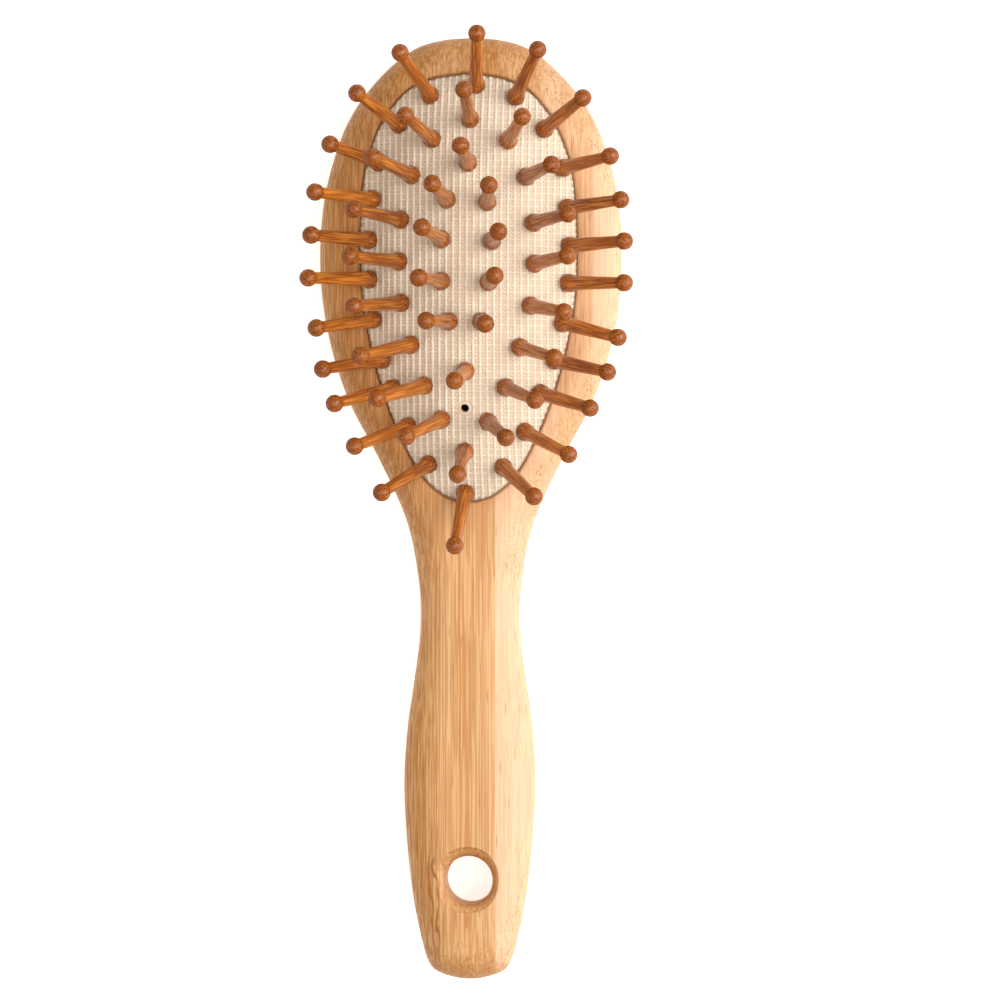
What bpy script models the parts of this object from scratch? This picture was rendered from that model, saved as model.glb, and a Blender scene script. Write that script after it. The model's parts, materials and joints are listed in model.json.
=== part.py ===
"""Mini cushion hair brush: bamboo body, domed air cushion, 52 ball-tipped bamboo pins.

Frame: metres, +Z up. The brush lies on its flat back. The origin is on the back,
under the middle of the head. +Y runs to the top of the head, the handle runs to -Y,
and the pins stand up along +Z.
"""
import math

import bmesh
import bpy
import numpy as np
from mathutils import Matrix, Vector

MM = 0.001

# ---- driving dimensions (millimetres) ---------------------------------------
PLAN_UNIT = 0.1955        # one unit of the plan readings, at the level of the rim
PLAN_AXIS = 468.8         # the brush's centre line on the plan
PLAN_HEAD = 265.0         # the head's centre on the plan
PLAN_CENTRE = 500.0       # the foot of the line of sight on the plan, both ways
PLAN_ROLL = 0.0709        # the line of sight leans this much about the handle, radians
PLAN_DISTANCE = 984.0     # from the eye of the plan to the rim

RIM_Z = 14.0              # thickness of the head, and the level of the cushion's rim
WIDE_Z = 8.0              # level at which the outline is widest
BACK_ROUND = 5.5          # how far the back's rounding reaches in

POCKET_DEPTH = 8.0        # recess for the cushion
GROOVE_TOP = -1.3         # undercut that holds the cushion's bead, from the rim
GROOVE_BOTTOM = -3.2
GROOVE_OUT = 1.25

DOME_RISE = 8.9           # crown of the cushion over its rim
DOME_SIDE_POWER = 2.07
DOME_HEAD_POWER = 3.46
DOME_NECK_POWER = 3.23
DOME_APEX_Y = -5.6
PAD_WALL = 1.4            # rubber thickness
PAD_GAP = 0.30            # clearance to the wood all round
PAD_DROP = 0.25
BEAD_TOP = -1.6
BEAD_BOTTOM = -2.9
BEAD_OUT = 0.9
SKIRT_IN = 1.4
VENT_READING = (465.0, 408.3)
VENT_RADIUS = 0.95

PIN_STANDOFF = 0.8        # height over the rubber at which a foot is read
PIN_REACH = 17.3          # from there to the ball's centre
PIN_PIVOT = -0.7          # a pin tilts about the middle of the rubber
PIN_HOLE = 1.50
PIN_SIDES = 8
BALL_RADIUS = 1.75

HANG_Y = -120.5
HANG_RADIUS = 4.7
HANG_LIP = 2.0
HANG_SIDES = 28

# Outline of the body: half width and row on the plan, from the head's top to the end.
BODY_PLAN = [
    (0, 38), (28, 40.2), (55, 48), (80, 66), (103, 90.5), (119.5, 114.5), (131, 139),
    (142, 174), (149, 210), (151.7, 256), (148.7, 304), (138.5, 354), (121, 404),
    (96.5, 450), (73, 498), (60, 534), (52.2, 578), (49.7, 612), (51.5, 645),
    (57, 686), (62.8, 728), (65.8, 774), (65, 812), (61.5, 858), (56, 900), (50, 930),
    (44, 954), (37, 968), (25, 974.6), (10, 978.3), (0, 979),
]
# Outline of the recess for the cushion, read the same way.
PAD_PLAN = [
    (0, 73), (26, 76), (42, 80.3), (62, 91), (79.3, 110), (91.3, 131), (100.3, 155),
    (105.8, 180), (108.6, 212), (109.3, 247), (108.2, 285), (104.2, 320), (95.5, 360),
    (83, 402), (68.5, 438), (55, 464), (41.5, 482.5), (25.5, 495.3), (10, 500.6), (0, 501.5),
]
# Thickness of the body along its length: (y, z of the front).
FRONT_PROFILE = [(46, 14.0), (-52, 14.0), (-66, 13.4), (-80, 13.0), (-105, 13.6), (-125, 13.3), (-141, 12.6)]
# How far the front's rounding reaches in from the outline: (y, reach).
FRONT_ROUND = [(46, 6.3), (0, 6.5), (-34, 5.6), (-52, 6.0), (-68, 7.4), (-95, 9.6), (-115, 9.0), (-128, 7.4), (-141, 6.2)]

# Pins, clockwise from the top of each ring: foot column, foot row, ball column, ball row.
OUTER_PINS = [
    (475.6, 86.1, 476.3, 33.3), (514.7, 97.6, 537.2, 49.4), (543.4, 129.3, 582.4, 97.6),
    (561.7, 168.0, 609.9, 155.7), (566.3, 207.8, 620.5, 199.3), (568.6, 245.7, 624.2, 240.6),
    (567.5, 282.8, 624.2, 282.4), (561.7, 322.6, 618.2, 337.0), (554.0, 360.0, 607.7, 371.7),
    (539.9, 392.9, 590.4, 407.8), (525.0, 431.4, 569.1, 454.2), (503.2, 466.8, 534.6, 496.2),
    (465.8, 492.0, 455.4, 545.5), (429.7, 464.0, 382.2, 492.7), (409.1, 426.1, 355.1, 446.4),
    (394.1, 388.3, 334.9, 403.9), (383.8, 359.6, 323.0, 369.4), (374.6, 319.6, 316.5, 328.3),
    (370.5, 279.4, 308.3, 278.3), (370.0, 240.4, 311.0, 235.3), (373.5, 199.7, 314.9, 192.4),
    (379.2, 163.0, 329.8, 144.6), (399.2, 125.1, 356.5, 93.4), (430.2, 96.0, 399.6, 52.8),
]
MIDDLE_PINS = [
    (469.9, 119.4, 463.5, 89.5), (507.8, 140.5, 521.8, 116.6), (525.7, 176.8, 551.2, 164.2),
    (533.0, 222.7, 567.5, 213.5), (534.2, 263.6, 567.5, 255.3), (530.3, 305.4, 564.0, 311.8),
    (519.7, 346.9, 554.2, 357.3), (505.5, 387.1, 535.3, 399.7), (488.3, 421.6, 506.2, 437.4),
    (465.3, 451.4, 458.0, 474.4), (442.3, 419.3, 406.8, 436.5), (425.1, 385.5, 377.6, 398.6),
    (411.8, 344.6, 360.8, 356.1), (401.7, 303.0, 354.2, 306.5), (399.4, 261.7, 350.0, 256.7),
    (401.0, 220.0, 353.7, 209.4), (411.8, 175.6, 372.5, 157.5), (432.0, 139.4, 404.9, 115.5),
]
INNER_PINS = [
    (467.8, 163.0, 460.3, 145.6), (487.1, 202.0, 488.7, 185.0), (491.7, 241.0, 498.4, 231.4),
    (488.7, 282.0, 494.7, 275.5), (481.4, 321.4, 485.5, 323.7), (465.8, 371.0, 455.0, 380.7),
    (449.2, 321.4, 426.3, 320.7), (441.7, 281.2, 418.7, 277.8), (441.7, 239.5, 421.7, 227.3),
    (446.9, 199.7, 432.0, 183.7),
]


# ---- scene, collections, materials ------------------------------------------
for old in list(bpy.data.objects):
    bpy.data.objects.remove(old, do_unlink=True)

parts = bpy.data.collections.new("cushion_brush")
cutters = bpy.data.collections.new("cutters")
bpy.context.scene.collection.children.link(parts)
bpy.context.scene.collection.children.link(cutters)


def material(name, colour, roughness):
    m = bpy.data.materials.new(name)
    m.use_nodes = True
    shader = m.node_tree.nodes["Principled BSDF"]
    shader.inputs["Base Color"].default_value = (*colour, 1.0)
    shader.inputs["Roughness"].default_value = roughness
    shader.inputs["Metallic"].default_value = 0.0
    return m


PALE_BAMBOO = material("pale_bamboo", (0.79, 0.51, 0.26), 0.45)
CREAM_RUBBER = material("cream_rubber", (0.85, 0.76, 0.62), 0.7)
DARK_BAMBOO = material("carbonised_bamboo", (0.47, 0.17, 0.05), 0.38)


def add_mesh(name, bm, where, mat=None):
    bmesh.ops.recalc_face_normals(bm, faces=bm.faces)
    mesh = bpy.data.meshes.new(name)
    bm.to_mesh(mesh)
    bm.free()
    ob = bpy.data.objects.new(name, mesh)
    where.objects.link(ob)
    if mat:
        mesh.materials.append(mat)
    if where is cutters:
        ob.hide_render = True
        ob.display_type = "WIRE"
    return ob


# ---- curves -----------------------------------------------------------------
def smooth_through(points, count):
    """A Catmull-Rom curve through the points, as count + 1 evenly spaced points."""
    p = np.array(points, float)
    p = np.vstack([2 * p[0] - p[1], p, 2 * p[-1] - p[-2]])
    fine = []
    for i in range(1, len(p) - 2):
        for t in np.linspace(0, 1, 24, endpoint=False):
            fine.append(
                0.5 * (2 * p[i] + (p[i + 1] - p[i - 1]) * t
                       + (2 * p[i - 1] - 5 * p[i] + 4 * p[i + 1] - p[i + 2]) * t**2
                       + (3 * p[i] - p[i - 1] - 3 * p[i + 1] + p[i + 2]) * t**3))
    fine = np.array(fine + [p[-2]])
    walked = np.concatenate([[0], np.cumsum(np.linalg.norm(np.diff(fine, axis=0), axis=1))])
    at = np.linspace(0, walked[-1], count + 1)
    return np.stack([np.interp(at, walked, fine[:, k]) for k in (0, 1)], axis=1)


def plan_to_mm(half_width, row, z):
    """A half width and a row read on the plan, at height z over the rim."""
    k = PLAN_DISTANCE / (PLAN_DISTANCE - z)
    y = PLAN_HEAD - (PLAN_CENTRE + (row - PLAN_CENTRE) / k)
    return half_width / k * PLAN_UNIT, y * PLAN_UNIT


def profile(stations, y):
    s = sorted(stations)
    ys, vs = [a for a, _ in s], [b for _, b in s]
    i = int(np.clip(np.searchsorted(ys, y) - 1, 0, len(ys) - 2))
    t = float(np.clip((y - ys[i]) / (ys[i + 1] - ys[i]), 0, 1))
    t = t * t * (3 - 2 * t)
    return vs[i] + (vs[i + 1] - vs[i]) * t


def half_outline(plan, count, z):
    pts = smooth_through([plan_to_mm(w, r, z) for w, r in plan], count)
    pts[0, 0] = pts[-1, 0] = 0.0
    return pts


def outward(pts):
    """Outward normals of a right half outline that runs from the top to the end."""
    d = np.gradient(pts, axis=0)
    d[0], d[-1] = (1, 0), (-1, 0)
    n = np.stack([-d[:, 1], d[:, 0]], axis=1)
    return n / np.linalg.norm(n, axis=1, keepdims=True)


def both_sides(right):
    """A closed ring from the right half: down the right side, up the left."""
    left = [(-x, y, z) for x, y, z in right[-2:0:-1]]
    return list(right) + left


def loft(bm, rings):
    """Quads between closed rings of like counts. Returns the rings' vertices."""
    rows = [[bm.verts.new(Vector(p) * MM) for p in ring] for ring in rings]
    for a, b in zip(rows, rows[1:]):
        for i in range(len(a)):
            j = (i + 1) % len(a)
            bm.faces.new((a[i], a[j], b[j], b[i]))
    return rows


def ladder(bm, row):
    """Closes a ring with rungs that join its right side to its left."""
    n = len(row)
    half = n // 2
    bm.faces.new((row[0], row[1], row[n - 1]))
    for i in range(1, half - 1):
        bm.faces.new((row[i], row[i + 1], row[n - i - 1], row[n - i]))
    bm.faces.new((row[half - 1], row[half], row[half + 1]))


# ---- bamboo body ------------------------------------------------------------
BODY_COUNT = 44
body_half = half_outline(BODY_PLAN, BODY_COUNT, WIDE_Z - RIM_Z)
body_normal = outward(body_half)
rings = []
for angle in (90, 66, 44, 22, 0):
    ring = []
    for (x, y), n in zip(body_half, body_normal):
        reach = profile(FRONT_ROUND, y) * (1 - math.cos(math.radians(angle)))
        px, py = x - n[0] * reach, y - n[1] * reach
        front = profile(FRONT_PROFILE, y)
        wide = front * WIDE_Z / RIM_Z
        ring.append((px, py, wide + (front - wide) * math.sin(math.radians(angle))))
    ring[0], ring[-1] = (0.0, *ring[0][1:]), (0.0, *ring[-1][1:])
    rings.append(both_sides(ring))
for angle in (25, 50, 72, 90):
    ring = []
    for (x, y), n in zip(body_half, body_normal):
        reach = BACK_ROUND * (1 - math.cos(math.radians(angle)))
        wide = profile(FRONT_PROFILE, y) * WIDE_Z / RIM_Z
        ring.append((x - n[0] * reach, y - n[1] * reach, wide * (1 - math.sin(math.radians(angle)))))
    ring[0], ring[-1] = (0.0, *ring[0][1:]), (0.0, *ring[-1][1:])
    rings.append(both_sides(ring))
bm = bmesh.new()
rows = loft(bm, rings)
ladder(bm, rows[0])
ladder(bm, rows[-1])
body = add_mesh("bamboo_body", bm, parts, PALE_BAMBOO)

# recess with the undercut groove
PAD_COUNT = 28
pad_half = half_outline(PAD_PLAN, PAD_COUNT, 0.0)
pad_normal = outward(pad_half)


def pad_ring(out, z):
    ring = []
    for i, ((x, y), n) in enumerate(zip(pad_half, pad_normal)):
        height = z if not callable(z) else z(x + n[0] * out, y + n[1] * out)
        ring.append((x + n[0] * out, y + n[1] * out, RIM_Z + height))
    ring[0], ring[-1] = (0.0, *ring[0][1:]), (0.0, *ring[-1][1:])
    return both_sides(ring)


bm = bmesh.new()
rows = loft(bm, [
    pad_ring(0, 2.0), pad_ring(0, GROOVE_TOP), pad_ring(GROOVE_OUT, GROOVE_TOP),
    pad_ring(GROOVE_OUT, GROOVE_BOTTOM), pad_ring(0, GROOVE_BOTTOM), pad_ring(0, -POCKET_DEPTH)])
ladder(bm, rows[0])
ladder(bm, rows[-1])
recess_cutter = add_mesh("recess_cutter", bm, cutters)


def turned(name, points, sides, where, mat=None, mesh=None):
    """A turned shape from (radius, height) points that run down its outer side."""
    if mesh is None:
        mesh = bpy.data.meshes.new(name)
        mesh.from_pydata([(r * MM, 0.0, z * MM) for r, z in points],
                         [(i, i + 1) for i in range(len(points) - 1)], [])
        if mat:
            mesh.materials.append(mat)
    ob = bpy.data.objects.new(name, mesh)
    where.objects.link(ob)
    screw = ob.modifiers.new("turn", "SCREW")
    screw.axis = "Z"
    screw.steps = screw.render_steps = sides
    screw.use_merge_vertices = True
    screw.merge_threshold = 0.00001
    screw.use_smooth_shade = True
    if where is cutters:
        ob.hide_render = True
        ob.display_type = "WIRE"
    return ob


hang_front = profile(FRONT_PROFILE, HANG_Y)
hang_cutter = turned("hang_cutter", [
    (0, hang_front + 1.5), (HANG_RADIUS + HANG_LIP + 1.5, hang_front + 1.5),
    (HANG_RADIUS + HANG_LIP, hang_front), (HANG_RADIUS + 0.55, hang_front - 0.85),
    (HANG_RADIUS, hang_front - 2.3), (HANG_RADIUS, 2.0), (HANG_RADIUS + 0.5, 0.8),
    (HANG_RADIUS + 1.7, 0.0), (HANG_RADIUS + 2.7, -0.8), (0, -0.8)], HANG_SIDES, cutters)
hang_cutter.location = (0, HANG_Y * MM, 0)

for cutter in (recess_cutter, hang_cutter):
    cut = body.modifiers.new(cutter.name, "BOOLEAN")
    cut.operation = "DIFFERENCE"
    cut.solver = "EXACT"
    cut.object = cutter


# ---- air cushion ------------------------------------------------------------
dense = half_outline(PAD_PLAN, 400, 0.0)
PAD_TOP_Y, PAD_END_Y = dense[0, 1], dense[-1, 1]


def pad_half_width(y):
    return float(np.interp(y, dense[::-1, 1], dense[::-1, 0]))


def dome(x, y):
    """Height of the cushion's face over the rim."""
    if y > DOME_APEX_Y:
        along = 1 - min((y - DOME_APEX_Y) / (PAD_TOP_Y - DOME_APEX_Y), 1.0) ** DOME_HEAD_POWER
    else:
        along = 1 - min((DOME_APEX_Y - y) / (DOME_APEX_Y - PAD_END_Y), 1.0) ** DOME_NECK_POWER
    across = 1 - min(abs(x) / max(pad_half_width(y), 1e-3), 1.0) ** DOME_SIDE_POWER
    return DOME_RISE * along * across - PAD_DROP


def dome_normal(x, y):
    e = 0.1
    n = Vector((dome(x - e, y) - dome(x + e, y), dome(x, y - e) - dome(x, y + e), 2 * e))
    return n.normalized()


def dome_ring(share, depth):
    """A ring of the dome at this share of the outline, sunk by depth along its normal."""
    ring = []
    for i, (x, y) in enumerate(pad_half):
        px, py = x * share, DOME_APEX_Y + (y - DOME_APEX_Y) * share
        p = Vector((px, py, RIM_Z + dome(px, py))) - dome_normal(px, py) * depth
        ring.append((p.x, p.y, p.z))
    ring[0], ring[-1] = (0.0, *ring[0][1:]), (0.0, *ring[-1][1:])
    return both_sides(ring)


bm = bmesh.new()
rows = loft(bm, [
    dome_ring(0.22, 0), dome_ring(0.45, 0), dome_ring(0.65, 0), dome_ring(0.82, 0), dome_ring(0.93, 0),
    pad_ring(-PAD_GAP, dome), pad_ring(-PAD_GAP, BEAD_TOP), pad_ring(BEAD_OUT, BEAD_TOP),
    pad_ring(BEAD_OUT, BEAD_BOTTOM), pad_ring(-SKIRT_IN, BEAD_BOTTOM),
    pad_ring(-SKIRT_IN, lambda x, y: dome(x, y) - PAD_WALL * 1.15),
    dome_ring(0.84, PAD_WALL), dome_ring(0.66, PAD_WALL), dome_ring(0.45, PAD_WALL), dome_ring(0.22, PAD_WALL)])
ladder(bm, rows[0])
ladder(bm, rows[-1])
cushion = add_mesh("air_cushion", bm, parts, CREAM_RUBBER)


# ---- where the pins stand ---------------------------------------------------
def plan_point(column, row, z):
    """The place at height z over the rim that is read at this column and row."""
    x = (column - PLAN_AXIS) * PLAN_UNIT
    for _ in range(3):
        depth = math.sin(PLAN_ROLL) * x + math.cos(PLAN_ROLL) * z
        k = PLAN_DISTANCE / (PLAN_DISTANCE - depth)
        across = (PLAN_CENTRE + (column - PLAN_CENTRE) / k - PLAN_AXIS) * PLAN_UNIT
        x = (across + math.sin(PLAN_ROLL) * z) / math.cos(PLAN_ROLL)
    y = (PLAN_HEAD - (PLAN_CENTRE + (row - PLAN_CENTRE) / k)) * PLAN_UNIT
    return x, y


def place_pin(foot_column, foot_row, ball_column, ball_row):
    """The pin's point on the rubber, over the rim, and its direction."""
    direction = Vector((0, 0, 1))
    x, y = plan_point(foot_column, foot_row, 3.0)
    for _ in range(40):
        z = dome(x, y)
        stand = direction * PIN_STANDOFF
        fx, fy = plan_point(foot_column, foot_row, z + stand.z)
        x, y = fx - stand.x, fy - stand.y
        z = dome(x, y)
        bx, by = plan_point(ball_column, ball_row, z + direction.z * (PIN_STANDOFF + PIN_REACH))
        dx = (bx - x - stand.x) / PIN_REACH
        dy = (by - y - stand.y) / PIN_REACH
        direction = Vector((dx, dy, math.sqrt(max(1 - dx * dx - dy * dy, 0.01)))).normalized()
    return Vector((x, y, dome(x, y))), direction


pins = []
for ring_name, ring in (("outer", OUTER_PINS), ("middle", MIDDLE_PINS), ("inner", INNER_PINS)):
    for i, reading in enumerate(ring):
        foot, direction = place_pin(*reading)
        hinge = (Vector((0, 1, 0)) - direction * direction.y).normalized()
        side = hinge.cross(direction).normalized()
        turn = Matrix((side, hinge, direction)).transposed()
        pivot = foot + direction * PIN_PIVOT + Vector((0, 0, RIM_Z))
        pins.append((f"pin_{ring_name}_{i + 1:02d}", pivot, turn))

# holes for the pins and the vent, one straight cutter each
bm = bmesh.new()
for name, pivot, turn in pins:
    place = Matrix.Translation(pivot * MM) @ turn.to_4x4() @ Matrix.Translation((0, 0, 0.1 * MM))
    bmesh.ops.create_cone(bm, cap_ends=True, segments=PIN_SIDES, radius1=PIN_HOLE * MM,
                          radius2=PIN_HOLE * MM, depth=4.2 * MM, matrix=place)
vx, vy = plan_point(*VENT_READING, 7.5)
vent_normal = dome_normal(vx, vy)
vent = Vector((vx, vy, RIM_Z + dome(vx, vy))) - vent_normal * PAD_WALL / 2
place = Matrix.Translation(vent * MM) @ Vector((0, 0, 1)).rotation_difference(vent_normal).to_matrix().to_4x4()
bmesh.ops.create_cone(bm, cap_ends=True, segments=10, radius1=VENT_RADIUS * MM,
                      radius2=VENT_RADIUS * MM, depth=4.0 * MM, matrix=place)
hole_cutter = add_mesh("cushion_hole_cutter", bm, cutters)
cut = cushion.modifiers.new("holes", "BOOLEAN")
cut.operation = "DIFFERENCE"
cut.solver = "EXACT"
cut.object = hole_cutter


# ---- pins -------------------------------------------------------------------
# Turned profile, from the ball's top down to the root flange under the rubber.
# Heights are over the rubber's face; the origin is the pivot.
ball = PIN_STANDOFF + PIN_REACH
PIN_PROFILE = [
    (0, ball + BALL_RADIUS), (BALL_RADIUS * 0.72, ball + BALL_RADIUS * 0.70), (BALL_RADIUS, ball),
    (1.06, ball - 1.42), (1.38, 3.3), (1.78, 2.05), (1.78, 1.4), (0.92, 0.62),
    (0.92, -2.05), (1.5, -2.05), (1.5, -2.6), (0, -2.6),
]
pin_mesh = None
for name, pivot, turn in pins:
    ob = turned(name, [(r, z - PIN_PIVOT) for r, z in PIN_PROFILE], PIN_SIDES, parts, DARK_BAMBOO, pin_mesh)
    pin_mesh = ob.data
    ob.matrix_world = Matrix.Translation(pivot * MM) @ turn.to_4x4()

for ob in (body, cushion):
    ob.data.shade_smooth()
    ob.data.set_sharp_from_angle(angle=math.radians(35))
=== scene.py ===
"""Looks of the cushion brush: fine meshes, procedural finishes, floor, light and camera.

Metres, +Z up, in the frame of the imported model: origin on the flat back under the
middle of the head, +Y to the top of the head, pins up along +Z.
"""
import json
import math

import bmesh
import bpy
import numpy as np
from mathutils import Matrix, Vector
from mathutils.geometry import delaunay_2d_cdt


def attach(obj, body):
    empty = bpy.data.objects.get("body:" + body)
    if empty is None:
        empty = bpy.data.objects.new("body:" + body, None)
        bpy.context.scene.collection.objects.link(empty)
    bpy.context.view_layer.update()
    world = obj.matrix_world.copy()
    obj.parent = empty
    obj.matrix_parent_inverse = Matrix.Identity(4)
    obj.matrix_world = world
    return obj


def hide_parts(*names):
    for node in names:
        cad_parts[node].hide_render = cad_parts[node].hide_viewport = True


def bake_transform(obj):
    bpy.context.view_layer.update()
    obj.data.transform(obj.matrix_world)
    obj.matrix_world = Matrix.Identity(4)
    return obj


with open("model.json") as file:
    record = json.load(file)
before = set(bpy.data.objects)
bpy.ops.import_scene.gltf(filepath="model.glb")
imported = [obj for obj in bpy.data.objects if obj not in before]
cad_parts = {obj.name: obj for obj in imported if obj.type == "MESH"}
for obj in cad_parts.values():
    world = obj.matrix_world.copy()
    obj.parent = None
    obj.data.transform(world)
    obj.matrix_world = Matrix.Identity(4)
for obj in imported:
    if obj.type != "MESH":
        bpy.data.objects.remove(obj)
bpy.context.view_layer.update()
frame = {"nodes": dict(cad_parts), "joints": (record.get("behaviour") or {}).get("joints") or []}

MM = 0.001
scene = bpy.context.scene

# ---- camera -----------------------------------------------------------------
PLAN_UNIT = 0.1955        # millimetres in one unit of the plan, at the rim
PLAN_AXIS = 468.8
PLAN_HEAD = 265.0
PLAN_CENTRE = 500.0
PLAN_ROLL = 0.0709        # the line of sight leans this much about the handle
PLAN_TURN = 0.0025        # and the handle leans this much to the left in the picture
PLAN_DISTANCE = 984.0
RIM_Z = 14.0

right = Vector((math.cos(PLAN_ROLL), 0, -math.sin(PLAN_ROLL)))
back = Vector((math.sin(PLAN_ROLL), 0, math.cos(PLAN_ROLL)))
up = Vector((0, 1, 0))
turned_right = right * math.cos(PLAN_TURN) + up * math.sin(PLAN_TURN)
turned_up = up * math.cos(PLAN_TURN) - right * math.sin(PLAN_TURN)
eye = (Vector((0, 0, RIM_Z)) + turned_right * (PLAN_CENTRE - PLAN_AXIS) * PLAN_UNIT
       + turned_up * (PLAN_HEAD - PLAN_CENTRE) * PLAN_UNIT + back * PLAN_DISTANCE) * MM
lens = bpy.data.cameras.new("camera")
lens.sensor_width = 36.0
lens.lens = 36.0 * PLAN_DISTANCE / (1000 * PLAN_UNIT)
lens.clip_start, lens.clip_end = 0.05, 20.0
camera = bpy.data.objects.new("camera", lens)
scene.collection.objects.link(camera)
camera.matrix_world = Matrix.Translation(eye) @ Matrix((turned_right, turned_up, back)).transposed().to_4x4()
scene.camera = camera

# ---- dimensions, in millimetres, as the solids have them ----------------------
WIDE_Z = 8.0
BACK_ROUND = 5.5
POCKET_DEPTH = 8.0
GROOVE_TOP, GROOVE_BOTTOM, GROOVE_OUT = -1.3, -3.2, 1.25
DOME_RISE = 8.9
DOME_SIDE_POWER, DOME_HEAD_POWER, DOME_NECK_POWER = 2.07, 3.46, 3.23
DOME_APEX_Y = -5.6
PAD_WALL, PAD_GAP, PAD_DROP = 1.4, 0.30, 0.25
BEAD_TOP, BEAD_BOTTOM, BEAD_OUT, SKIRT_IN = -1.6, -2.9, 0.9, 1.4
VENT_READING = (465.0, 408.3)
HANG_Y, HANG_RADIUS = -120.5, 4.72
BALL_HEIGHT, BALL_RADIUS = 18.1, 1.75
PIN_PIVOT = -0.7

BODY_PLAN = [
    (0, 38), (28, 40.2), (55, 48), (80, 66), (103, 90.5), (119.5, 114.5), (131, 139),
    (142, 174), (149, 210), (151.7, 256), (148.7, 304), (138.5, 354), (121, 404),
    (96.5, 450), (73, 498), (60, 534), (52.2, 578), (49.7, 612), (51.5, 645),
    (57, 686), (62.8, 728), (65.8, 774), (65, 812), (61.5, 858), (56, 900), (50, 930),
    (44, 954), (37, 968), (25, 974.6), (10, 978.3), (0, 979),
]
PAD_PLAN = [
    (0, 73), (26, 76), (42, 80.3), (62, 91), (79.3, 110), (91.3, 131), (100.3, 155),
    (105.8, 180), (108.6, 212), (109.3, 247), (108.2, 285), (104.2, 320), (95.5, 360),
    (83, 402), (68.5, 438), (55, 464), (41.5, 482.5), (25.5, 495.3), (10, 500.6), (0, 501.5),
]
FRONT_PROFILE = [(46, 14.0), (-52, 14.0), (-66, 13.4), (-80, 13.0), (-105, 13.6), (-125, 13.3), (-141, 12.6)]
FRONT_ROUND = [(46, 6.3), (0, 6.5), (-34, 5.6), (-52, 6.0), (-68, 7.4), (-95, 9.6), (-115, 9.0), (-128, 7.4), (-141, 6.2)]


# ---- curves -----------------------------------------------------------------
def smooth_through(points, count):
    """A Catmull-Rom curve through the points, as count + 1 evenly spaced points."""
    p = np.array(points, float)
    p = np.vstack([2 * p[0] - p[1], p, 2 * p[-1] - p[-2]])
    fine = []
    for i in range(1, len(p) - 2):
        for t in np.linspace(0, 1, 24, endpoint=False):
            fine.append(
                0.5 * (2 * p[i] + (p[i + 1] - p[i - 1]) * t
                       + (2 * p[i - 1] - 5 * p[i] + 4 * p[i + 1] - p[i + 2]) * t**2
                       + (3 * p[i] - p[i - 1] - 3 * p[i + 1] + p[i + 2]) * t**3))
    fine = np.array(fine + [p[-2]])
    walked = np.concatenate([[0], np.cumsum(np.linalg.norm(np.diff(fine, axis=0), axis=1))])
    at = np.linspace(0, walked[-1], count + 1)
    return np.stack([np.interp(at, walked, fine[:, k]) for k in (0, 1)], axis=1)


def plan_to_mm(half_width, row, z):
    k = PLAN_DISTANCE / (PLAN_DISTANCE - z)
    y = PLAN_HEAD - (PLAN_CENTRE + (row - PLAN_CENTRE) / k)
    return half_width / k * PLAN_UNIT, y * PLAN_UNIT


def profile(stations, y):
    s = sorted(stations)
    ys, vs = [a for a, _ in s], [b for _, b in s]
    i = int(np.clip(np.searchsorted(ys, y) - 1, 0, len(ys) - 2))
    t = float(np.clip((y - ys[i]) / (ys[i + 1] - ys[i]), 0, 1))
    t = t * t * (3 - 2 * t)
    return vs[i] + (vs[i + 1] - vs[i]) * t


def half_outline(plan, count, z):
    pts = smooth_through([plan_to_mm(w, r, z) for w, r in plan], count)
    pts[0, 0] = pts[-1, 0] = 0.0
    return pts


def outward(pts, spread=0.0):
    """Outward normals of a right half outline, evened out over spread millimetres of it."""
    whole = np.vstack([pts, pts[-2:0:-1] * (-1, 1)])
    d = np.roll(whole, -1, 0) - np.roll(whole, 1, 0)
    n = np.stack([-d[:, 1], d[:, 0]], axis=1)
    n /= np.linalg.norm(n, axis=1, keepdims=True)
    if spread:
        step = np.linalg.norm(np.diff(pts, axis=0), axis=1).mean()
        reach = int(3 * spread / step)
        weight = np.exp(-0.5 * (np.arange(-reach, reach + 1) * step / spread) ** 2)
        n = sum(w * np.roll(n, k, 0) for k, w in zip(range(-reach, reach + 1), weight))
        n /= np.linalg.norm(n, axis=1, keepdims=True)
    n = n[:len(pts)]
    n[0], n[-1] = (0, 1), (0, -1)
    return n


def both_sides(right_half):
    """A closed ring from the right half: down the right side, up the left."""
    return list(right_half) + [(-x, y, z) for x, y, z in right_half[-2:0:-1]]


def loft(bm, rings):
    rows = [[bm.verts.new(Vector(p) * MM) for p in ring] for ring in rings]
    for a, b in zip(rows, rows[1:]):
        for i in range(len(a)):
            j = (i + 1) % len(a)
            bm.faces.new((a[i], a[j], b[j], b[i]))
    return rows


def ladder(bm, row):
    """Closes a ring with rungs that join its right side to its left."""
    n, half = len(row), len(row) // 2
    bm.faces.new((row[0], row[1], row[n - 1]))
    for i in range(1, half - 1):
        bm.faces.new((row[i], row[i + 1], row[n - i - 1], row[n - i]))
    bm.faces.new((row[half - 1], row[half], row[half + 1]))


def mesh_object(name, bm):
    bmesh.ops.recalc_face_normals(bm, faces=bm.faces)
    mesh = bpy.data.meshes.new(name)
    bm.to_mesh(mesh)
    bm.free()
    ob = bpy.data.objects.new(name, mesh)
    scene.collection.objects.link(ob)
    return ob


def smooth(ob, degrees):
    ob.data.shade_smooth()
    ob.data.set_sharp_from_angle(angle=math.radians(degrees))


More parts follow.
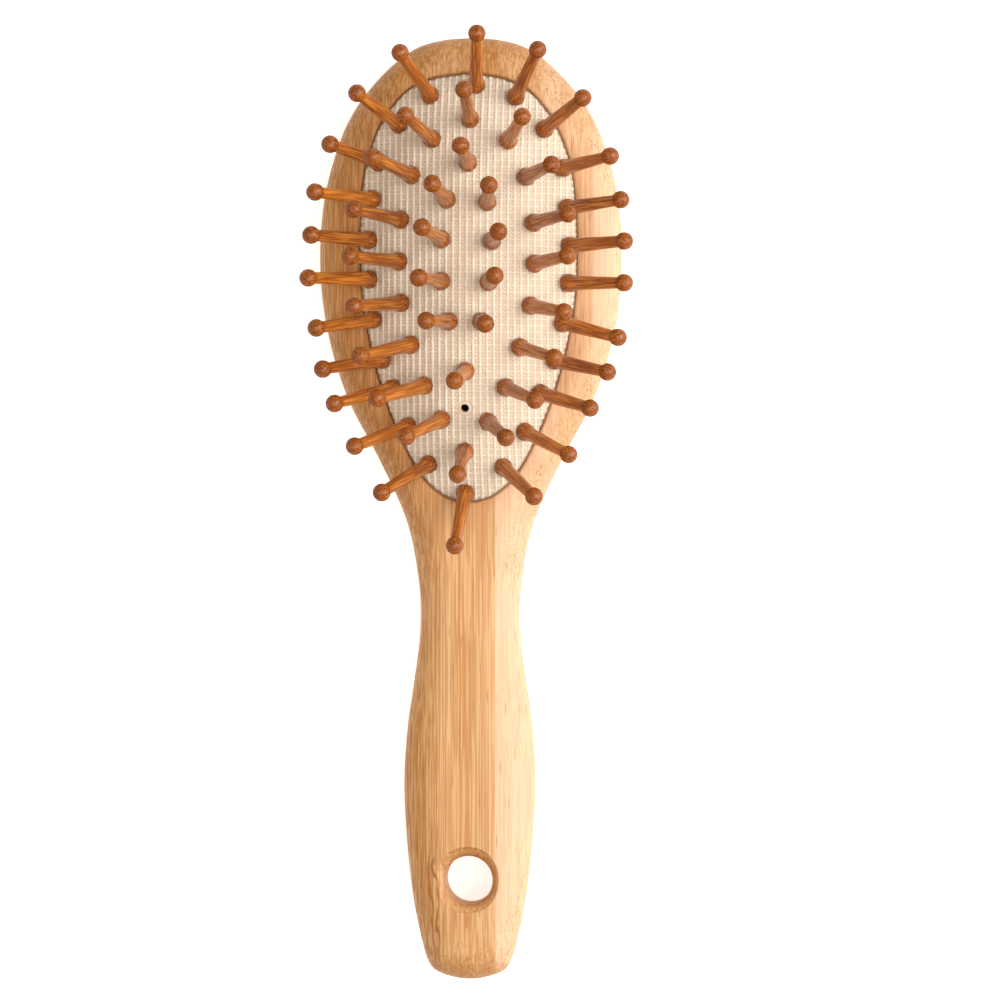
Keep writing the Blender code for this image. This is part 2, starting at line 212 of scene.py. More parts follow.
def subtract(ob, cutter):
    """Cuts the cutter out of ob for good, and removes the cutter."""
    cut = ob.modifiers.new("cut", "BOOLEAN")
    cut.operation, cut.solver, cut.object = "DIFFERENCE", "EXACT", cutter
    bpy.context.view_layer.update()
    mesh = bpy.data.meshes.new_from_object(ob.evaluated_get(bpy.context.evaluated_depsgraph_get()))
    mesh.name = ob.name
    ob.modifiers.remove(cut)
    ob.data = mesh
    bpy.data.objects.remove(cutter, do_unlink=True)


# ---- bamboo body ------------------------------------------------------------
BODY_COUNT = 230
body_half = half_outline(BODY_PLAN, BODY_COUNT, WIDE_Z - RIM_Z)
body_in = outward(body_half, 3.2)
rings = []
for angle in np.concatenate([np.linspace(90, 0, 15), -np.linspace(0, 90, 11)[1:]]):
    s, c = math.sin(math.radians(abs(angle))), math.cos(math.radians(angle))
    ring = []
    for (x, y), n in zip(body_half, body_in):
        front = profile(FRONT_PROFILE, y)
        wide = front * WIDE_Z / RIM_Z
        reach = (profile(FRONT_ROUND, y) if angle >= 0 else BACK_ROUND) * (1 - c)
        z = wide + (front - wide) * s if angle >= 0 else wide * (1 - s)
        ring.append((x - n[0] * reach, y - n[1] * reach, z))
    ring[0], ring[-1] = (0.0, *ring[0][1:]), (0.0, *ring[-1][1:])
    rings.append(both_sides(ring))
bm = bmesh.new()
rows = loft(bm, rings)
ladder(bm, rows[0])
ladder(bm, rows[-1])
body = mesh_object("body_bamboo", bm)

PAD_COUNT = 300
pad_half = half_outline(PAD_PLAN, PAD_COUNT, 0.0)
pad_normal = outward(pad_half)


def lean(y):
    """Sideways shift of the recess and the pad, which lean a little left towards the head."""
    return -0.0085 * np.maximum(np.asarray(y, float) + 6.8, 0.0)


def pad_ring(out, z):
    ring = [(x + n[0] * out, y + n[1] * out, RIM_Z + z) for (x, y), n in zip(pad_half, pad_normal)]
    ring[0], ring[-1] = (0.0, *ring[0][1:]), (0.0, *ring[-1][1:])
    return [(x + float(lean(y)), y, z) for x, y, z in both_sides(ring)]


bm = bmesh.new()
rows = loft(bm, [
    pad_ring(1.05, 0.45), pad_ring(0.58, 0.05), pad_ring(0.40, -0.03), pad_ring(0.22, -0.14),
    pad_ring(0.08, -0.32), pad_ring(0, -0.60), pad_ring(0, GROOVE_TOP), pad_ring(GROOVE_OUT, GROOVE_TOP),
    pad_ring(GROOVE_OUT, GROOVE_BOTTOM), pad_ring(0, GROOVE_BOTTOM), pad_ring(0, -POCKET_DEPTH)])
ladder(bm, rows[0])
ladder(bm, rows[-1])
subtract(body, mesh_object("recess_cutter", bm))


def turned_rings(points, sides):
    """Rings of a turned shape about +Z from (radius, height) points, top to bottom."""
    a = np.arange(sides) * 2 * math.pi / sides
    return [[(r * math.cos(t), r * math.sin(t), z) for t in a] for r, z in points]


def cap(bm, row, flip):
    bm.faces.new(row if flip else row[::-1])


hang_front = profile(FRONT_PROFILE, HANG_Y)
bm = bmesh.new()
rows = loft(bm, turned_rings([
    (HANG_RADIUS + 3.0, hang_front + 1.6), (HANG_RADIUS + 2.2, hang_front + 0.42),
    (HANG_RADIUS + 1.90, hang_front + 0.04), (HANG_RADIUS + 1.62, hang_front - 0.16),
    (HANG_RADIUS + 1.18, hang_front - 0.46), (HANG_RADIUS + 0.76, hang_front - 0.82),
    (HANG_RADIUS + 0.42, hang_front - 1.18), (HANG_RADIUS + 0.20, hang_front - 1.62),
    (HANG_RADIUS + 0.06, hang_front - 2.12), (HANG_RADIUS, hang_front - 2.7),
    (HANG_RADIUS, 2.4), (HANG_RADIUS + 0.12, 1.7), (HANG_RADIUS + 0.42, 1.05),
    (HANG_RADIUS + 0.95, 0.5), (HANG_RADIUS + 1.7, 0.1), (HANG_RADIUS + 2.7, -0.8)], 120))
cap(bm, rows[0], True)
cap(bm, rows[-1], False)
cutter = mesh_object("hang_cutter", bm)
cutter.location = (0, HANG_Y * MM, 0)
subtract(body, cutter)
smooth(body, 32)
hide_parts("bamboo_body")
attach(body, "brush_body")

# ---- air cushion ------------------------------------------------------------
dense = half_outline(PAD_PLAN, 400, 0.0)
PAD_TOP_Y, PAD_END_Y = dense[0, 1], dense[-1, 1]


def dome(x, y):
    """Height of the cushion's face over the rim."""
    x, y = np.asarray(x, float) - lean(y), np.asarray(y, float)
    head = 1 - np.clip((y - DOME_APEX_Y) / (PAD_TOP_Y - DOME_APEX_Y), 0, 1) ** DOME_HEAD_POWER
    neck = 1 - np.clip((DOME_APEX_Y - y) / (DOME_APEX_Y - PAD_END_Y), 0, 1) ** DOME_NECK_POWER
    half = np.maximum(np.interp(y, dense[::-1, 1], dense[::-1, 0]), 1e-3)
    across = 1 - np.minimum(np.abs(x) / half, 1.0) ** DOME_SIDE_POWER
    return DOME_RISE * np.where(y > DOME_APEX_Y, head, neck) * across - PAD_DROP


def dome_normal(x, y):
    e = 0.1
    n = np.stack([dome(x - e, y) - dome(x + e, y), dome(x, np.asarray(y) - e) - dome(x, np.asarray(y) + e),
                  np.full(np.shape(x), 2 * e)], axis=-1)
    return n / np.linalg.norm(n, axis=-1, keepdims=True)


# The moulded cells: ribs along the handle and lower ribs across it, evenly spaced
# along the curved face, so they lie closer together where it falls away.
RIB_PITCH, RIB_HEIGHT, RIB_SHIFT = 1.33, 0.22, -0.18
CROSS_PITCH, CROSS_HEIGHT = 1.285, 0.10
CELL_RISE = 0.055
fine_x = np.linspace(0, 24, 1201)
fine_y = np.linspace(PAD_END_Y - 2, PAD_TOP_Y + 2, 2001)
slope_x = np.gradient(dome(fine_x, np.full_like(fine_x, DOME_APEX_Y)), fine_x) * 0.72
slope_y = np.gradient(dome(np.zeros_like(fine_y), fine_y), fine_y)
walk_x = np.concatenate([[0], np.cumsum(np.sqrt(1 + slope_x[1:] ** 2) * np.diff(fine_x))])
walk_y = np.concatenate([[0], np.cumsum(np.sqrt(1 + slope_y[1:] ** 2) * np.diff(fine_y))])
walk_y -= np.interp(DOME_APEX_Y, fine_y, walk_y)


def rib(phase, pitch, top, foot):
    """0 on the floor of a cell to 1 on a rib; phase is the distance along the face."""
    d = np.abs((phase / pitch + 0.5) % 1 - 0.5) * pitch
    t = np.clip((foot - d) / (foot - top), 0, 1)
    return t * t * (3 - 2 * t)


def relief(x, y):
    u = np.sign(x) * np.interp(np.abs(x), fine_x, walk_x) + RIB_SHIFT
    v = np.interp(y, fine_y, walk_y)
    along = rib(u, RIB_PITCH, 0.13, 0.29)
    across = rib(v, CROSS_PITCH, 0.09, 0.25)
    pillow = (1 - rib(u, RIB_PITCH, 0.29, 0.47)) * (1 - rib(v, CROSS_PITCH, 0.25, 0.45))
    wobble = 0.024 * np.sin(u * 5.3 + v * 7.9) + 0.020 * np.sin(u * 11.7 - v * 9.1 + 1.0) + 0.016 * np.sin(v * 17.3 + u * 3.1)
    uneven = 1 + 0.13 * np.sin(u * 1.9 + np.sin(v * 1.3)) * np.sin(v * 2.3 + 0.7) + 0.10 * np.sin(v * 4.9 + np.floor(u / RIB_PITCH + 0.5) * 2.4)
    return uneven * RIB_HEIGHT * along + (1 - along) * (uneven * CROSS_HEIGHT * across + CELL_RISE * pillow + wobble)


def even_odd(points, loop):
    """Which points lie inside a closed loop."""
    inside = np.zeros(len(points), bool)
    a, b = loop, np.roll(loop, -1, 0)
    for (ax, ay), (bx, by) in zip(a, b):
        if ay == by:
            continue
        crosses = (points[:, 1] > min(ay, by)) & (points[:, 1] <= max(ay, by))
        x = ax + (points[crosses, 1] - ay) * (bx - ax) / (by - ay)
        inside[np.flatnonzero(crosses)[points[crosses, 0] < x]] ^= True
    return inside


def loop_distance(points, loop, reach):
    """Distance of the points from a closed loop's edges, reach at most."""
    far = np.full(len(points), float(reach))
    for a, b in zip(loop, np.roll(loop, -1, 0)):
        low, high = np.minimum(a, b) - reach, np.maximum(a, b) + reach
        k = np.flatnonzero(np.all((points >= low) & (points <= high), axis=1))
        if not len(k):
            continue
        ab = b - a
        t = np.clip(((points[k] - a) @ ab) / max(ab @ ab, 1e-12), 0, 1)
        far[k] = np.minimum(far[k], np.linalg.norm(points[k] - a - t[:, None] * ab, axis=1))
    return far


def near_loop(points, loop, reach):
    return loop_distance(points, loop, reach) < reach


def sheet_between(outer, holes, grid, clear):
    """Triangles that fill outer less the holes, through the grid points that are
    clear of every edge. Returns the points, outer loop first and then each hole, and the faces."""
    keep = even_odd(grid, outer) & ~near_loop(grid, outer, clear)
    for h in holes:
        k = np.flatnonzero(keep & (np.linalg.norm(grid - h.mean(0), axis=1) < 4.0))
        keep[k[even_odd(grid[k], h) | near_loop(grid[k], h, clear)]] = False
    loops = [outer, *holes]
    points = np.vstack([*loops, grid[keep]])
    edges, start = [], 0
    for loop in loops:
        n = len(loop)
        edges += [(start + i, start + (i + 1) % n) for i in range(n)]
        start += n
    out = delaunay_2d_cdt([Vector(p) for p in points], edges, [], 0, 1e-7, True)
    back_to = np.array([ids[0] for ids in out[3]])
    faces = back_to[np.array(out[2])]
    middle = points[faces].mean(1)
    good = even_odd(middle, outer)
    for h in holes:
        k = np.flatnonzero(good & (np.linalg.norm(middle - h.mean(0), axis=1) < 4.0))
        good[k[even_odd(middle[k], h)]] = False
    faces = faces[good]
    a, b, c = points[faces[:, 0]], points[faces[:, 1]], points[faces[:, 2]]
    turn = (b[:, 0] - a[:, 0]) * (c[:, 1] - a[:, 1]) - (b[:, 1] - a[:, 1]) * (c[:, 0] - a[:, 0])
    faces[turn < 0] = faces[turn < 0][:, ::-1]
    return points, faces


def hole_on(height_of, origin, turn, radius, sides):
    """Where a round hole along turn's third column breaks through the surface, in plan."""
    side, hinge, way = np.array(turn.col[0]), np.array(turn.col[1]), np.array(turn.col[2])
    a = np.arange(sides) * 2 * math.pi / sides
    p = np.array(origin) + radius * (np.cos(a)[:, None] * side + np.sin(a)[:, None] * hinge)
    low, high = np.full(sides, -8.0), np.full(sides, 8.0)
    for _ in range(40):
        middle = (low + high) / 2
        q = p + middle[:, None] * way
        under = q[:, 2] < RIM_Z + height_of(q[:, 0], q[:, 1])
        low, high = np.where(under, middle, low), np.where(under, high, middle)
    return (p + low[:, None] * way)[:, :2]


def inner_height(x, y):
    n = dome_normal(x, y)
    return dome(x, y) - PAD_WALL / np.maximum(n[..., 2], 0.62)


# the pins' pivots and directions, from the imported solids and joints
pins = []
for joint in frame["joints"]:
    if joint["type"] != "hinge":
        continue
    name = joint["child"]
    co = np.array([v.co for v in frame["nodes"][name].data.vertices], float)
    pivot = np.array(joint["pos_m"], float)
    tip = co[np.argmax(np.linalg.norm(co - pivot, axis=1))]
    way = Vector(tip - pivot).normalized()
    hinge = Vector(joint["axis"])
    hinge = (hinge - way * hinge.dot(way)).normalized()
    turn = Matrix((hinge.cross(way).normalized(), hinge, way)).transposed()
    pins.append((name, Vector(pivot) / MM, turn))


def plan_point(column, row, z):
    x = (column - PLAN_AXIS) * PLAN_UNIT
    for _ in range(3):
        k = PLAN_DISTANCE / (PLAN_DISTANCE - math.sin(PLAN_ROLL) * x - math.cos(PLAN_ROLL) * z)
        across = (PLAN_CENTRE + (column - PLAN_CENTRE) / k - PLAN_AXIS) * PLAN_UNIT
        x = (across + math.sin(PLAN_ROLL) * z) / math.cos(PLAN_ROLL)
    return x, (PLAN_HEAD - (PLAN_CENTRE + (row - PLAN_CENTRE) / k)) * PLAN_UNIT


vent_x, vent_y = plan_point(*VENT_READING, 7.5)
vent_way = Vector(dome_normal(vent_x, vent_y).tolist())
vent_turn = Vector((0, 0, 1)).rotation_difference(vent_way).to_matrix()
vent_at = Vector((vent_x, vent_y, RIM_Z + float(dome(vent_x, vent_y))))

PIN_HOLE = 1.08
VENT_HOLE = 0.80
cuts = [(p, t, PIN_HOLE, 20) for _, p, t in pins] + [(vent_at, vent_turn, VENT_HOLE, 28)]
top_holes = [hole_on(dome, p, t, r, n) for p, t, r, n in cuts]
low_holes = [hole_on(inner_height, p, t, r, n) for p, t, r, n in cuts]

ring_xy = np.array(pad_ring(-0.08, 0.0))[:, :2]
jag = np.random.RandomState(7).rand(len(ring_xy))
jag = (2 * jag + np.roll(jag, 1) + np.roll(jag, -1)) / 4
pad_n = np.vstack([pad_normal, pad_normal[-2:0:-1] * (-1, 1)])
# the cells are cut through at the edge, so it is toothed between the ribs
tooth = np.maximum(
    rib(np.sign(ring_xy[:, 0]) * np.interp(np.abs(ring_xy[:, 0]), fine_x, walk_x) + RIB_SHIFT, RIB_PITCH, 0.10, 0.45) * np.abs(pad_n[:, 1]),
    rib(np.interp(ring_xy[:, 1], fine_y, walk_y), CROSS_PITCH, 0.10, 0.45) * np.abs(pad_n[:, 0]))
edge_xy = ring_xy - pad_n * (0.34 * (1 - tooth) * (0.55 + 0.9 * jag) + 0.08 * jag)[:, None]


def phases(pitch, marks, walk, at, low, high):
    """Plan positions of the marks of every rib between two distances along the face."""
    first, last = math.floor(low / pitch) - 1, math.ceil(high / pitch) + 1
    d = np.array([k * pitch + m for k in range(first, last + 1) for m in marks])
    d = np.sort(d[(d > low) & (d < high)])
    return np.interp(d, walk, at)


both_walk = np.concatenate([-walk_x[:0:-1], walk_x])
both_at = np.concatenate([-fine_x[:0:-1], fine_x])
grid_x = phases(RIB_PITCH, [m - RIB_SHIFT for m in (-0.47, -0.29, -0.21, -0.13, 0.13, 0.21, 0.29, 0.47, 0.665)],
                both_walk, both_at, -walk_x[-1], walk_x[-1])
grid_y = phases(CROSS_PITCH, (-0.45, -0.25, -0.17, -0.09, 0.09, 0.17, 0.25, 0.45, 0.6425), walk_y, fine_y, walk_y[0], walk_y[-1])
gx, gy = np.meshgrid(grid_x, grid_y)
top_xy, top_faces = sheet_between(edge_xy, top_holes, np.stack([gx.ravel(), gy.ravel()], 1), 0.085)

skirt_xy = np.array(pad_ring(-SKIRT_IN, 0.0))[:, :2]
gx, gy = np.meshgrid(np.arange(-24, 24, 1.1), np.arange(PAD_END_Y, PAD_TOP_Y, 1.1))
low_xy, low_faces = sheet_between(skirt_xy, low_holes, np.stack([gx.ravel(), gy.ravel()], 1), 0.35)

n_ring = len(edge_xy)
lift = relief(top_xy[:, 0], top_xy[:, 1])
from_edge = loop_distance(top_xy, edge_xy, 0.4)
lift *= np.clip(0.35 + from_edge / 0.4, 0, 1)
lift -= 0.12 * (1 - from_edge / 0.4) ** 2
vent_far = np.linalg.norm(top_xy - (vent_x, vent_y), axis=1)
lip = np.clip(1 - np.abs(vent_far - 1.02) / 0.34, 0, 1)
lift = np.where(vent_far < 1.75, np.maximum(lift * np.clip((vent_far - 1.3) / 0.4, 0, 1), 0.10 * lip * lip * (3 - 2 * lip)), lift)
normals = dome_normal(top_xy[:, 0], top_xy[:, 1])
flat = np.column_stack([top_xy, RIM_Z + dome(top_xy[:, 0], top_xy[:, 1])])
top = flat + normals * lift[:, None]
top[:n_ring, :2] = edge_xy
low = np.column_stack([low_xy, RIM_Z + inner_height(low_xy[:, 0], low_xy[:, 1])])
walls = [np.array(pad_ring(-PAD_GAP, -0.75)), np.array(pad_ring(-PAD_GAP, BEAD_TOP)), np.array(pad_ring(BEAD_OUT, BEAD_TOP)),
         np.array(pad_ring(BEAD_OUT, BEAD_BOTTOM)), np.array(pad_ring(-SKIRT_IN, BEAD_BOTTOM))]
points = np.vstack([top, *walls, low])
faces = [tuple(f) for f in top_faces]
starts = [0] + [len(top) + i * n_ring for i in range(len(walls) + 1)]
for a, b in zip(starts, starts[1:]):
    faces += [(a + i, a + (i + 1) % n_ring, b + (i + 1) % n_ring, b + i) for i in range(n_ring)]
low_start = starts[-1]
faces += [tuple(low_start + f[::-1]) for f in low_faces]
a = b = n_ring
for loop in top_holes:
    n = len(loop)
    faces += [(a + (i + 1) % n, a + i, low_start + b + i, low_start + b + (i + 1) % n) for i in range(n)]
    a += n
    b += n
mesh = bpy.data.meshes.new("cushion_rubber")
mesh.from_pydata((points * MM).tolist(), [], faces)
# relief height of each point, which the rubber's finish turns into painted shade in the cells and painted light on the
# rib tops
relief_for_painted_shade = mesh.attributes.new("relief", "FLOAT", "POINT")
depth = np.full(len(points), 0.5, np.float32)
depth[:len(top)] = np.clip(lift / RIB_HEIGHT, -0.2, 1.2)
relief_for_painted_shade.data.foreach_set("value", depth)
bm = bmesh.new()
bm.from_mesh(mesh)
bmesh.ops.recalc_face_normals(bm, faces=bm.faces)
bm.to_mesh(mesh)
bm.free()
pad = bpy.data.objects.new("cushion_rubber", mesh)
scene.collection.objects.link(pad)
smooth(pad, 48)
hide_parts("air_cushion")

# ---- pins -------------------------------------------------------------------
PIN_SIDES = 32


def pin_points(ball, girth):
    """Turned outline, (radius, height over the rubber), from the ball's top down."""
    centre = BALL_HEIGHT + BALL_RADIUS - ball
    pts = [(ball * math.sin(t), centre + ball * math.cos(t)) for t in np.radians([8, 20, 34, 48, 62, 76, 90, 103, 116, 128, 138])]
    top_h, foot_h = centre - ball * 0.82, 3.15
    pts += [(1.12 * girth, top_h + 0.04), (1.10 * girth, top_h - 0.12)]
    for t in np.linspace(0.03, 1, 9):
        pts.append(((1.10 + 0.28 * t ** 1.1) * girth, top_h + (foot_h - top_h) * t))
    pts += [(1.42 * girth, 2.85), (1.50, 2.55), (1.60, 2.28), (1.69, 2.04), (1.75, 1.80), (1.785, 1.52), (1.79, 1.20),
            (1.785, 0.90), (1.755, 0.68), (1.68, 0.52), (1.52, 0.42), (1.30, 0.38), (0.92, 0.36),
            (0.92, -2.05), (1.42, -2.05), (1.5, -2.12), (1.5, -2.52), (1.42, -2.6)]
    return [(r, z - PIN_PIVOT) for r, z in pts]


dice = np.random.RandomState(21)
pin_objects = []
for number, (name, pivot, turn) in enumerate(pins):
    ball = BALL_RADIUS * (0.98 + 0.02 * dice.rand())
    girth = 0.97 + 0.075 * dice.rand()
    pts = pin_points(ball, girth)
    bm = bmesh.new()
    rings = turned_rings(pts, PIN_SIDES)
    waves = dice.rand(3) * 6.283
    for ring, (r, z) in zip(rings, pts):
        h = z + PIN_PIVOT
        if 0.5 < h < 2.6:        # the collar's cut fibres stand up unevenly
            for i, (px, py, pz) in enumerate(ring):
                t = i * 2 * math.pi / PIN_SIDES
                k = 1 + 0.020 * math.sin(5 * t + waves[0] + h) + 0.018 * math.sin(9 * t + waves[1] - 2 * h) + 0.012 * math.sin(13 * t + waves[2])
                ring[i] = (px * k, py * k, pz)
        elif h > BALL_HEIGHT - 1.5:        # the ball is turned a little out of round
            for i, (px, py, pz) in enumerate(ring):
                t = i * 2 * math.pi / PIN_SIDES
                k = 1 - 0.010 * (1 + math.sin(2 * t + waves[1] + 0.8 * h)) / 2 - 0.008 * (1 + math.sin(6 * t + waves[2] + 1.9 * h)) / 2
                ring[i] = (px * k, py * k, pz)
    rows = loft(bm, rings)
    for row, z in ((rows[0], (BALL_HEIGHT + BALL_RADIUS - PIN_PIVOT)), (rows[-1], pts[-1][1])):
        tip = bm.verts.new((0, 0, z * MM))
        for i in range(PIN_SIDES):
            bm.faces.new((row[i], row[(i + 1) % PIN_SIDES], tip))
    ob = mesh_object("bamboo_" + name, bm)
    seed = ob.data.attributes.new("seed", "FLOAT", "POINT")
    seed.data.foreach_set("value", np.full(len(ob.data.vertices), float(dice.rand()), np.float32))
    smooth(ob, 46)
    spin = Matrix.Rotation(dice.rand() * 6.283, 3, "Z")
    own = np.array([v.co for v in ob.data.vertices], np.float32)
    fibre = ob.data.attributes.new("fibre", "FLOAT_VECTOR", "POINT")
    fibre.data.foreach_set("vector", own.ravel())
    ob.data.transform(Matrix.Translation(pivot * MM) @ (turn @ spin).to_4x4())
    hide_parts(name)
    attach(ob, name)
    pin_objects.append(ob)


# ---- materials --------------------------------------------------------------
class Finish:
    """A Principled material whose sockets are fed by procedural nodes."""

    def __init__(self, name):
        self.material = bpy.data.materials.new(name)
        self.material.use_nodes = True
        self.tree = self.material.node_tree
        self.shader = self.tree.nodes["Principled BSDF"]
        self.place = self.add("ShaderNodeTexCoord").outputs["Object"]

    def add(self, kind, **settings):
        n = self.tree.nodes.new(kind)
        for k, v in settings.items():
            setattr(n, k, v)
        return n

    def put(self, socket, value):
        if isinstance(value, bpy.types.NodeSocket):
            self.tree.links.new(value, socket)
        else:
            socket.default_value = value

    def math(self, operation, a, b=0.0, c=0.0, clamp=False):
        n = self.add("ShaderNodeMath", operation=operation, use_clamp=clamp)
        for s, v in zip(n.inputs, (a, b, c)):
            self.put(s, v)
        return n.outputs[0]

    def scaled(self, vector, by):
        n = self.add("ShaderNodeVectorMath", operation="MULTIPLY")
        self.put(n.inputs[0], vector)
        self.put(n.inputs[1], by)
        return n.outputs[0]

    def moved(self, vector, by):
        n = self.add("ShaderNodeVectorMath", operation="ADD")
        self.put(n.inputs[0], vector)
        self.put(n.inputs[1], by)
        return n.outputs[0]

    def noise(self, vector, scale, detail=2.0, rough=0.5, distortion=0.0):
        n = self.add("ShaderNodeTexNoise")
        self.put(n.inputs["Vector"], vector)
        self.put(n.inputs["Scale"], scale)
        self.put(n.inputs["Detail"], detail)
        self.put(n.inputs["Roughness"], rough)
        self.put(n.inputs["Distortion"], distortion)
        return n

    def cells(self, vector, scale, randomness=1.0):
        n = self.add("ShaderNodeTexVoronoi")
        self.put(n.inputs["Vector"], vector)
        self.put(n.inputs["Scale"], scale)
        self.put(n.inputs["Randomness"], randomness)
        return n

    def ramp(self, value, stops, interpolation="LINEAR"):
        n = self.add("ShaderNodeValToRGB")
        n.color_ramp.interpolation = interpolation
        e = n.color_ramp.elements
        while len(e) < len(stops):
            e.new(0.5)
        for k, (at, colour) in zip(e, stops):
            k.position = at
            k.color = (*colour, 1.0) if hasattr(colour, "__len__") else (colour, colour, colour, 1.0)
        self.put(n.inputs[0], value)
        return n.outputs[0]

    def spread(self, value, low, high, to_low=0.0, to_high=1.0):
        n = self.add("ShaderNodeMapRange")
        n.clamp = True
        for s, v in zip(n.inputs, (value, low, high, to_low, to_high)):
            self.put(s, v)
        return n.outputs[0]

    def mix(self, share, a, b, blend="MIX"):
        n = self.add("ShaderNodeMix", data_type="RGBA", blend_type=blend)
        self.put(n.inputs[0], share)
        self.put(n.inputs[6], a if isinstance(a, bpy.types.NodeSocket) else (*a, 1.0))
        self.put(n.inputs[7], b if isinstance(b, bpy.types.NodeSocket) else (*b, 1.0))
        return n.outputs[2]

    def bump(self, height, strength, distance, under=None):
        n = self.add("ShaderNodeBump")
        self.put(n.inputs["Strength"], strength)
        self.put(n.inputs["Distance"], distance)
        self.put(n.inputs["Height"], height)
        if under is not None:
            self.put(n.inputs["Normal"], under)
        return n.outputs[0]

    def axes(self, vector):
        n = self.add("ShaderNodeSeparateXYZ")
        self.put(n.inputs[0], vector)
        return n.outputs

    def set(self, **values):
        for k, v in values.items():
            self.put(self.shader.inputs[k.replace("_", " ")], v)


def pale_bamboo():
    """Boards of bamboo strips glued side by side, fibres along the handle."""
    f = Finish("pale_bamboo_laminate")
    sway = f.noise(f.scaled(f.place, (18.0, 9.0, 18.0)), 1.0, 1.0)
    sway = f.scaled(f.moved(sway.outputs["Color"], (-0.5, -0.5, -0.5)), (0.0011, 0.0, 0.0011))
    place = f.moved(f.place, sway)
    x, y, z = f.axes(place)

    # tone of each strip across the board, browner to the left and paler to the right, and the thin glue lines between
    # them; the paleness of the right-hand strips is partly painted light, for the key light's sheen from the right
    across = f.math("MULTIPLY_ADD", x, 1 / 0.064, 0.5)
    edges = [-32, -24.4, -18.2, -12.3, -8.4, -6.2, -2.0, 1.0, 5.3, 11.6, 17.9, 24.0]
    strip_and_light_tones = [0.97, 0.90, 0.95, 0.80, 0.66, 0.54, 0.64, 0.52, 0.10, 0.12, 0.28, 0.12]
    stops = [(0.0, strip_and_light_tones[0])]
    for e, before, after in zip(edges[1:], strip_and_light_tones, strip_and_light_tones[1:]):
        m = (e + 32) / 64
        soft = 0.009 if -2.1 < e < 1.1 else 0.004
        stops += [(m - soft, before), (m + soft, after)]
    tone = f.ramp(across, stops)
    # the strip right of the middle is browner at the head
    head = f.math("MULTIPLY", f.spread(y, -0.020, 0.030), f.spread(f.math("ABSOLUTE", f.math("SUBTRACT", x, 0.0075)), 0.0050, 0.0075, 0.40, 0.0))
    tone = f.math("ADD", tone, head)
    near_bore = f.add("ShaderNodeVectorMath", operation="DISTANCE")
    f.put(near_bore.inputs[0], f.scaled(f.place, (1.0, 1.0, 0.0)))
    near_bore.inputs[1].default_value = (0.0, HANG_Y * MM, 0.0)
    ring = f.spread(near_bore.outputs["Value"], 0.0060, 0.0068, 0.70, 0.0)
    tone = f.math("ADD", f.math("MULTIPLY", tone, f.math("SUBTRACT", 1.0, ring)), f.math("MULTIPLY", ring, 0.34))
    seams = []
    for e, dark in ((-18.2, 0.35), (-12.3, 0.25), (-6.2, 0.35), (-1.5, 0.55), (5.3, 0.38), (11.6, 0.15), (17.9, 0.25), (23.9, 0.25)):
        m = (e + 32) / 64
        seams += [(m - 0.0034, 0.0), (m, dark), (m + 0.0034, 0.0)]
    seam = f.math("MULTIPLY", f.ramp(across, seams), f.spread(f.noise(f.scaled(place, (1.0, 0.05, 1.0)), 900.0, 1.0).outputs["Fac"], 0.36, 0.56))

    # how strongly the grain shows: boldly in the browner strips, faintly in the palest
    bold = f.math("MULTIPLY_ADD", tone, 1.05, 0.10, clamp=True)
    signed = f.axes(f.add("ShaderNodeTexCoord").outputs["Normal"])[1]
    ny = f.math("ABSOLUTE", signed)
    end_grain = f.spread(ny, 0.08, 0.80)
    # painted light: the lower wall of the bore gets less of the end-grain darkening and stays paler, as the side of the
    # bore that catches the light
    painted_lit_bore_wall = f.math("MULTIPLY", f.spread(signed, -0.20, 0.70), f.spread(y, -0.080, -0.060, 1.0, 0.0))
    stain = f.math("MULTIPLY", end_grain, f.math("MULTIPLY_ADD", painted_lit_bore_wall, -0.50, 0.90))

    # fibres: long lines along the handle, and shorter dashes where the skin was sanded off
    long_way = f.scaled(place, (1.0, 0.0035, 0.5))
    short_way = f.scaled(place, (1.0, 0.060, 0.8))
    hair = f.noise(long_way, 3300.0, 1.0, 0.5).outputs["Fac"]
    vein = f.noise(long_way, 1500.0, 1.0, 0.5).outputs["Fac"]
    band = f.noise(long_way, 330.0, 1.0, 0.5).outputs["Fac"]
    dash = f.noise(short_way, 2600.0, 1.0, 0.5, 0.2).outputs["Fac"]
    blotch = f.noise(short_way, 700.0, 1.0, 0.5, 0.5).outputs["Fac"]
    outer = f.spread(f.math("ABSOLUTE", f.math("ADD", x, 0.0004)), 0.0058, 0.0072)

    # shorter flecks over the crown of the head and at the ends
    fleck = f.noise(f.scaled(place, (1.0, 0.26, 0.8)), 2700.0, 1.0, 0.5, 0.2).outputs["Fac"]
    flecked = f.math("MAXIMUM", f.spread(y, 0.018, 0.042), f.spread(ny, 0.04, 0.30, 0.0, 0.5))

    # bundles: brown dots where the cut crosses the fibres, dashes where it nearly follows them
    dots = f.cells(f.scaled(place, (1.0, 0.80, 0.9)), 1750.0)
    dot = f.math("MULTIPLY", f.spread(dots.outputs["Distance"], 0.14, 0.36, 1.0, 0.0), f.spread(f.axes(dots.outputs["Color"])[0], 0.10, 0.30))
    dot = f.math("MULTIPLY", dot, f.spread(ny, 0.04, 0.26))
    cluster = f.spread(f.noise(f.scaled(place, (1.0, 0.6, 1.0)), 210.0, 1.0).outputs["Fac"], 0.45, 0.57, 0.40, 1.0)
    specks = f.cells(f.scaled(place, (1.0, 0.085, 1.0)), 1700.0)
    crowd = f.noise(f.scaled(place, (1.0, 0.15, 1.0)), 170.0, 1.0).outputs["Fac"]
    picked = f.math("MULTIPLY_ADD", crowd, 0.9, f.axes(specks.outputs["Color"])[0])
    picked = f.math("ADD", picked, f.spread(y, 0.0, 0.035, 0.0, 0.10))
    speck = f.math("MULTIPLY", f.spread(specks.outputs["Distance"], 0.10, 0.30, 1.0, 0.0), f.spread(picked, 1.02, 1.16))

